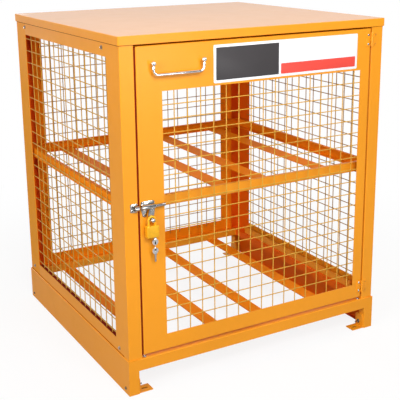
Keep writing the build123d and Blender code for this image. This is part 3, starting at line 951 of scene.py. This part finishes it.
def latch_case(screw, axis_y, axis_z):
    """Back plate of the barrel bolt with its tapered tail, its barrel and its screws."""
    low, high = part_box("latch_barrel")
    door = facing_front(0, FRONT, 0)
    bm = bmesh.new()
    start, stop = (low.x + 1 * MM, axis_z - 7.5 * MM), (high.x + 2.5 * MM, high.z - 1 * MM)
    plate(bm, oblong(start, stop, 4.5 * MM), door, LATCH_THICK, 0.6 * MM)
    tail = [
        *in_mm([(1, -4)], (low.x, axis_z)),
        *in_mm([(4, 8), (6, 1.5), (7.5, 0), (14.5, 0), (16, 1.5), (17.5, 9)], (low.x, low.z)),
        *in_mm([(21, -4)], (low.x, axis_z)),
    ]
    plate(bm, tail, door, LATCH_THICK, 0.5 * MM)

    # The barrel is open along its underside, where the lug slides
    outer, inner, mouth, steps = 6.5 * MM, 4.15 * MM, math.radians(25), 28
    open_turns = [mouth + (math.tau - 2 * mouth) * i / steps for i in range(steps + 1)]
    section = [(-outer * math.cos(turn), outer * math.sin(turn)) for turn in open_turns]
    section += [(-inner * math.cos(turn), inner * math.sin(turn)) for turn in reversed(open_turns)]
    along = Matrix.Translation((low.x, axis_y, axis_z)) @ Matrix(
        ((0, 0, 1, 0), (0, 1, 0, 0), (1, 0, 0, 0), (0, 0, 0, 1))
    )
    plate(bm, section, along, high.x - low.x, 0.4 * MM)
    for side, clear in ((-1, 2.5 * MM), (1, 0.0)):
        edge = axis_z + side * 5.3 * MM
        block(
            bm, (low.x, axis_y + clear, edge - 1.2 * MM),
            (high.x, FRONT - 1 * MM, edge + 1.2 * MM), 0.4 * MM,
        )
    upper = high.z - 4.2 * MM
    for x, z in (
        (low.x + 8 * MM, upper), (high.x - 6 * MM, upper), (low.x + 9.7 * MM, low.z + 5 * MM)
    ):
        pan_head(bm, on_front(x, z, LATCH_THICK), screw, screw * 0.3)
    settle(bm, "latch_case", "door", ["bright_steel", "recess"], ["latch_barrel"])


def latch_rod(axis_y, axis_z):
    """Sliding rod with a hanging lug and a ball knob at its end."""
    rod_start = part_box("bolt_rod")[0].x
    bm = bmesh.new()
    rod = in_mm([(0, 0), (3, 0), (4, 1), (4, 66), (3, 67), (0, 67)])
    lathe(bm, rod, aimed((rod_start, axis_y, axis_z), X), 28)
    knob_x, knob_z = LOCK_MIDDLE.x, axis_z - 33 * MM
    lug = [
        *in_mm([(-1, 0), (-1.8, -5), (-6, -18)], (knob_x, axis_z)),
        *in_mm([(-6.2, 0), (-3.5, -5), (3, -5), (6, 3)], (knob_x, knob_z)),
        *in_mm([(9.5, -19), (11, -5), (11, 0)], (knob_x, axis_z)),
    ]
    plate(bm, lug, facing_front(0, axis_y + 1.25 * MM, 0), 2.5 * MM, 0.5 * MM)
    knob = ball(5.9 * MM, 11.75 * MM, 11) + in_mm([(4.4, 8.4), (4.4, 0)])
    lathe(bm, knob, aimed((knob_x, axis_y, knob_z), -Y), 28)
    settle(bm, "bolt_slide_rod", "bolt", ["bright_steel"], ["bolt_rod"], 50)


def latch_keeper(screw, axis_y, axis_z):
    """Keeper on the post: a plate and a strap that takes the rod."""
    low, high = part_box("bolt_keeper")
    bm = bmesh.new()
    outline = oblong((low.x, low.z), (high.x, high.z), 3 * MM)
    plate(bm, outline, facing_front(0, FRONT, 0), LEAF_THICK, 0.5 * MM)
    strap = high.x - 11 * MM
    hoop = in_mm([(4.5, 0), (6.2, 0), (6.7, 0.6), (6.7, 10.4), (6.2, 11), (4.5, 11)])
    lathe(bm, hoop, aimed((strap, axis_y, axis_z), X), 28, closed=True)
    for side in (-1, 1):
        edge = axis_z + side * 5.6 * MM
        block(
            bm, (strap, axis_y, edge - 1.1 * MM),
            (high.x, FRONT - 1 * MM, edge + 1.1 * MM), 0.4 * MM,
        )
        place = on_front(low.x + 4.6 * MM, axis_z + side * 5.8 * MM, LEAF_THICK)
        pan_head(bm, place, screw * 1.25, screw * 0.45)
    finishes = ["bright_steel", "recess"]
    settle(bm, "bolt_keeper_strap", "cabinet", finishes, ["bolt_keeper"])


class CABINET_OT_latch(bpy.types.Operator):
    """Models the barrel bolt: its case, the sliding rod with its lug and knob, and the keeper"""

    bl_idname = "cabinet.latch"
    bl_label = "Barrel bolt"

    def execute(self, context):
        screw = context.scene.cabinet_sizes.screw_width * 0.75
        axis_y = FRONT - 8.5 * MM
        axis_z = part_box("latch_barrel")[1].z - 14.5 * MM
        latch_case(screw, axis_y, axis_z)
        latch_rod(axis_y, axis_z)
        latch_keeper(screw, axis_y, axis_z)
        return {"FINISHED"}


class CABINET_OT_handle(bpy.types.Operator):
    """Models the bail handle and its two ball-ended posts"""

    bl_idname = "cabinet.handle"
    bl_label = "Bail handle"

    def execute(self, context):
        low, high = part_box("handle_eyes")
        radius, stem, stem_long = 6.5 * MM, 3 * MM, 12 * MM
        y, z = FRONT - stem_long, high.z - radius
        start, stop = low.x + radius, high.x - radius
        profile = ball(radius, 0.0, 14) + [(stem, -radius * 0.93), (stem, -stem_long)]
        bm = bmesh.new()
        for x in (start, stop):
            lathe(bm, profile, aimed((x, y, z), -Y), 32)
        settle(bm, "handle_posts", "door", ["chrome"], ["handle_eyes"], 50)

        wire, drop, bend = 3.5 * MM, 28 * MM, 13 * MM
        neck, hidden, neck_long, taper = 0.7, 4 * MM, 2.5 * MM, 1.0 * MM
        leg = drop - bend - (hidden + neck_long + taper)
        sides = context.scene.cabinet_sizes.round_steps
        bm = bmesh.new()
        bar = Bar(bm, (start, y, z - hidden), -Z, wire * neck, sides)
        for by, grow in ((neck_long, 1.0), (taper, 1 / neck), (leg, 1.0)):
            bar.straight((0, 0, -by), grow)
        bar.bend((start + bend, y, z - drop + bend), -Y, 90)
        bar.straight((stop - start - 2 * bend, 0, 0))
        bar.bend((stop - bend, y, z - drop + bend), -Y, 90)
        for by, grow in ((leg, 1.0), (taper, neck), (neck_long, 1.0)):
            bar.straight((0, 0, by), grow)
        bar.close()
        settle(bm, "handle_grip", "handle", ["chrome"], ["handle_bail"], 50)
        return {"FINISHED"}


def key(bm, centre, width, way, blade, hole, hole_at):
    """Key with a pierced round head and a notched blade that points up (way 1) or down (-1)."""
    place = facing_front(centre.x, centre.y + 1.1 * MM, centre.z)
    r = width / 2
    pierced_disc(bm, place, r, hole, hole_at, 2.2 * MM, 0.4 * MM)
    shadow = [
        (hole[0] * 1.1 * math.cos(turn), hole_at + hole[1] * 1.1 * math.sin(turn))
        for turn in turns(20)
    ]
    plate(bm, shadow, place @ Matrix.Translation((0, 0, 0.5 * MM)), 0.5 * MM, finish=RECESS)
    shoulder, half, notches = 4.4 * MM, 2.7 * MM, 4
    root, tip = r + 4 * MM, r + blade
    outline = [(-shoulder, r * 0.7), (shoulder, r * 0.7), (half, root)]
    step = (tip - root - 3 * MM) / notches
    for i in range(notches):
        start = root + 0.5 * MM + i * step
        depth = (1.1 + 0.5 * (i % 2)) * MM
        outline += [(half, start), (half - depth, start + step * 0.4), (half, start + step * 0.8)]
    outline += [(1.2 * MM, tip), (-1.2 * MM, tip), (-half, tip - 2.5 * MM), (-half, root)]
    plate(bm, [(across, way * up) for across, up in outline], place, 2.0 * MM, 0.25 * MM, 2)


class CABINET_OT_padlock(bpy.types.Operator):
    """Models the padlock case, its shackle and the keys"""

    bl_idname = "cabinet.padlock"
    bl_label = "Padlock and keys"

    def execute(self, context):
        s = context.scene.cabinet_sizes
        reach = 9 * MM  # half the distance between the shackle's legs
        key_x = LOCK_MIDDLE.x + 8 * MM
        x, y, _ = LOCK_MIDDLE

        bm = bmesh.new()
        block(bm, LOCK_LOW, LOCK_HIGH, 1.8 * MM, 4)
        collar = in_mm([(3.9, 0), (4.3, 0.4), (3.9, 0.9), (3.2, 0.9)])
        for side in (-1, 1):
            place = Matrix.Translation((x + side * reach, y, LOCK_HIGH.z - 0.1 * MM))
            lathe(bm, collar, place, 24)
        plug = in_mm([(0, 0.7), (5.2, 0.7), (5.6, 0.3), (5.6, -0.2)])
        lathe(bm, plug, aimed((key_x, y, LOCK_LOW.z), -Z), 28)
        # A dark block under the plug stands for the keyhole as painted shade
        block(
            bm, (key_x - 3.8 * MM, y - 1.3 * MM, LOCK_LOW.z - 0.9 * MM),
            (key_x + 3.8 * MM, y + 1.3 * MM, LOCK_LOW.z), finish=RECESS,
        )
        finishes = ["padlock_case", "recess"]
        settle(bm, "padlock_case", "bolt", finishes, ["padlock_body"], 40)

        bm = bmesh.new()
        low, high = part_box("padlock_shackle")
        wire, sunk = 3 * MM, 0.5 * MM
        middle = (low.x + high.x) / 2
        top = high.z - reach - wire
        bar = Bar(bm, (middle - reach, y, low.z - sunk), Z, wire, s.round_steps)
        bar.straight((0, 0, top - low.z + sunk))
        bar.bend((middle, y, top), Y, 180, 16)
        bar.straight((0, 0, low.z - top - sunk))
        bar.close()
        settle(bm, "shackle", "bolt", ["padlock_case"], ["padlock_shackle"], 50)

        bm = bmesh.new()
        bow, ring, wire = s.key_bow, s.key_ring / 2, 0.6 * MM
        upper = Vector((key_x, y, LOCK_LOW.z - 5.5 * MM - bow / 2))
        lower = upper - Z * s.key_drop
        key(bm, upper, bow, 1, 9 * MM, (bow * 0.10, bow * 0.25), -bow * 0.16)
        key(bm, lower, bow, -1, 21 * MM, (bow * 0.15, bow * 0.15), bow * 0.15)
        hoop = [(ring + wire * math.cos(turn), wire * math.sin(turn)) for turn in turns(8)]
        place = aimed(upper - Z * (bow * 0.37 + ring), (0.97, -0.24, 0.0))
        lathe(bm, hoop, place, 32, closed=True)
        finishes = ["chrome", "recess", "bright_steel"]
        settle(bm, "padlock_keys", "bolt", finishes)
        return {"FINISHED"}


class CABINET_OT_sign(bpy.types.Operator):
    """Models the blank sign plate on the door's top rail"""

    bl_idname = "cabinet.sign"
    bl_label = "Blank sign plate"

    def execute(self, context):
        s = context.scene.cabinet_sizes
        thick, edge = 0.8 * MM, 7 * MM
        x0, z0 = LEFT + s.sign_left, s.sign_base
        x1, z1 = x0 + s.sign_width, z0 + s.sign_height
        split = x0 + s.sign_width * 0.43
        band = z0 + s.sign_height * 0.36
        bm = bmesh.new()
        outline = oblong((x0, z0), (x1, z1), 3 * MM)
        plate(bm, outline, facing_front(0, FRONT, 0), thick, 0.3 * MM)
        raised = facing_front(0, FRONT - thick, 0)
        for finish, low, high in (
            (1, (x0 + edge, z0 + edge), (split, z1 - edge)),
            (2, (split + edge, z0 + edge), (x1 - edge, band)),
        ):
            plate(bm, oblong(low, high, 2 * MM), raised, 0.15 * MM, 0.05 * MM, finish)
        settle(bm, "sign_plate", "door", ["sign_white", "sign_dark", "sign_red"], smooth=30)
        return {"FINISHED"}


def lay_floor(scene):
    bm = bmesh.new()
    bmesh.ops.create_grid(bm, x_segments=2, y_segments=2, size=30.0)
    mesh = bpy.data.meshes.new("studio_floor")
    bm.to_mesh(mesh)
    bm.free()
    floor = bpy.data.objects.new("studio_floor", mesh)
    scene.collection.objects.link(floor)
    mesh.materials.append(floor_paper("studio_paper", tuple(scene.cabinet_colours.backdrop)))


def hang_lamps(scene):
    for name, where, aim, power, size in LAMPS:
        lamp = bpy.data.lights.new(name, "AREA")
        lamp.energy, lamp.size = power, size
        holder = bpy.data.objects.new(name, lamp)
        holder.location = where
        holder.rotation_mode = "QUATERNION"
        holder.rotation_quaternion = (Vector(aim) - Vector(where)).to_track_quat("-Z", "Y")
        scene.collection.objects.link(holder)


def fill_air(scene):
    """White to the camera; mirrored brightest from behind the cabinet and dimly from before it."""
    world = bpy.data.worlds.new("studio_air")
    world.use_nodes = True
    air = Recipe(world.node_tree)
    rays = air.add("ShaderNodeLightPath")
    heading = air.add(
        "ShaderNodeSeparateXYZ", None, {0: air.add("ShaderNodeTexCoord")["Generated"]}
    )
    behind = heading["Y"].ramp(-0.7, 0.2)
    above = heading["Z"].ramp(0.1, 0.6)
    seen, glossy = rays["Is Camera Ray"], rays["Is Glossy Ray"]
    mirrored = behind + (1 - behind) * (0.05 + above * 0.3)
    strength = seen + glossy * mirrored + (1 - seen - glossy) * 0.13
    glow = air.add(
        "ShaderNodeBackground", None, {"Color": (1.0, 1.0, 1.0, 1.0), "Strength": strength}
    )
    air.add("ShaderNodeOutputWorld", None, {"Surface": glow})
    scene.world = world


def set_camera(scene):
    lens = bpy.data.cameras.new("photo_camera")
    lens.sensor_width = SENSOR_WIDTH
    lens.lens = FOCAL_PIXELS * SENSOR_WIDTH / PHOTO_WIDTH
    lens.shift_y = -0.1
    lens.clip_start, lens.clip_end = 0.05, 100.0
    camera = bpy.data.objects.new("photo_camera", lens)
    right = Vector(CAMERA_RIGHT).normalized()
    look = Vector(CAMERA_LOOK).normalized()
    turn = Matrix((right, right.cross(look), -look)).transposed().to_4x4()
    camera.matrix_world = Matrix.Translation(CAMERA_AT) @ turn
    scene.collection.objects.link(camera)
    scene.camera = camera


class CABINET_OT_studio(bpy.types.Operator):
    """Sets up the paper floor, the studio lights and the camera"""

    bl_idname = "cabinet.studio"
    bl_label = "Studio"

    def execute(self, context):
        scene = context.scene
        lay_floor(scene)
        hang_lamps(scene)
        fill_air(scene)
        set_camera(scene)
        scene.view_settings.view_transform = "Standard"
        return {"FINISHED"}


class CABINET_PT_panel(bpy.types.Panel):
    bl_label = "Gas cylinder cabinet"
    bl_idname = "CABINET_PT_panel"
    bl_space_type = "VIEW_3D"
    bl_region_type = "UI"
    bl_category = "Cabinet"

    def draw(self, context):
        column = self.layout.column()
        for operator in OPERATORS:
            column.operator(operator.bl_idname)
        for group in (context.scene.cabinet_sizes, context.scene.cabinet_colours):
            for name in type(group).__annotations__:
                column.prop(group, name)


OPERATORS = (
    CABINET_OT_coats,
    CABINET_OT_meshes,
    CABINET_OT_painted_shadows,
    CABINET_OT_side_bolts,
    CABINET_OT_hinges,
    CABINET_OT_latch,
    CABINET_OT_handle,
    CABINET_OT_padlock,
    CABINET_OT_sign,
    CABINET_OT_studio,
)
CLASSES = (CabinetSizes, CabinetColours, *OPERATORS, CABINET_PT_panel)


def register():
    for kind in CLASSES:
        bpy.utils.register_class(kind)
    bpy.types.Scene.cabinet_sizes = PointerProperty(type=CabinetSizes)
    bpy.types.Scene.cabinet_colours = PointerProperty(type=CabinetColours)


def unregister():
    del bpy.types.Scene.cabinet_colours
    del bpy.types.Scene.cabinet_sizes
    for kind in reversed(CLASSES):
        bpy.utils.unregister_class(kind)


def main():
    register()
    for operator in OPERATORS:
        group, name = operator.bl_idname.split(".")
        getattr(getattr(bpy.ops, group), name)()


if __name__ == "__main__":
    main()
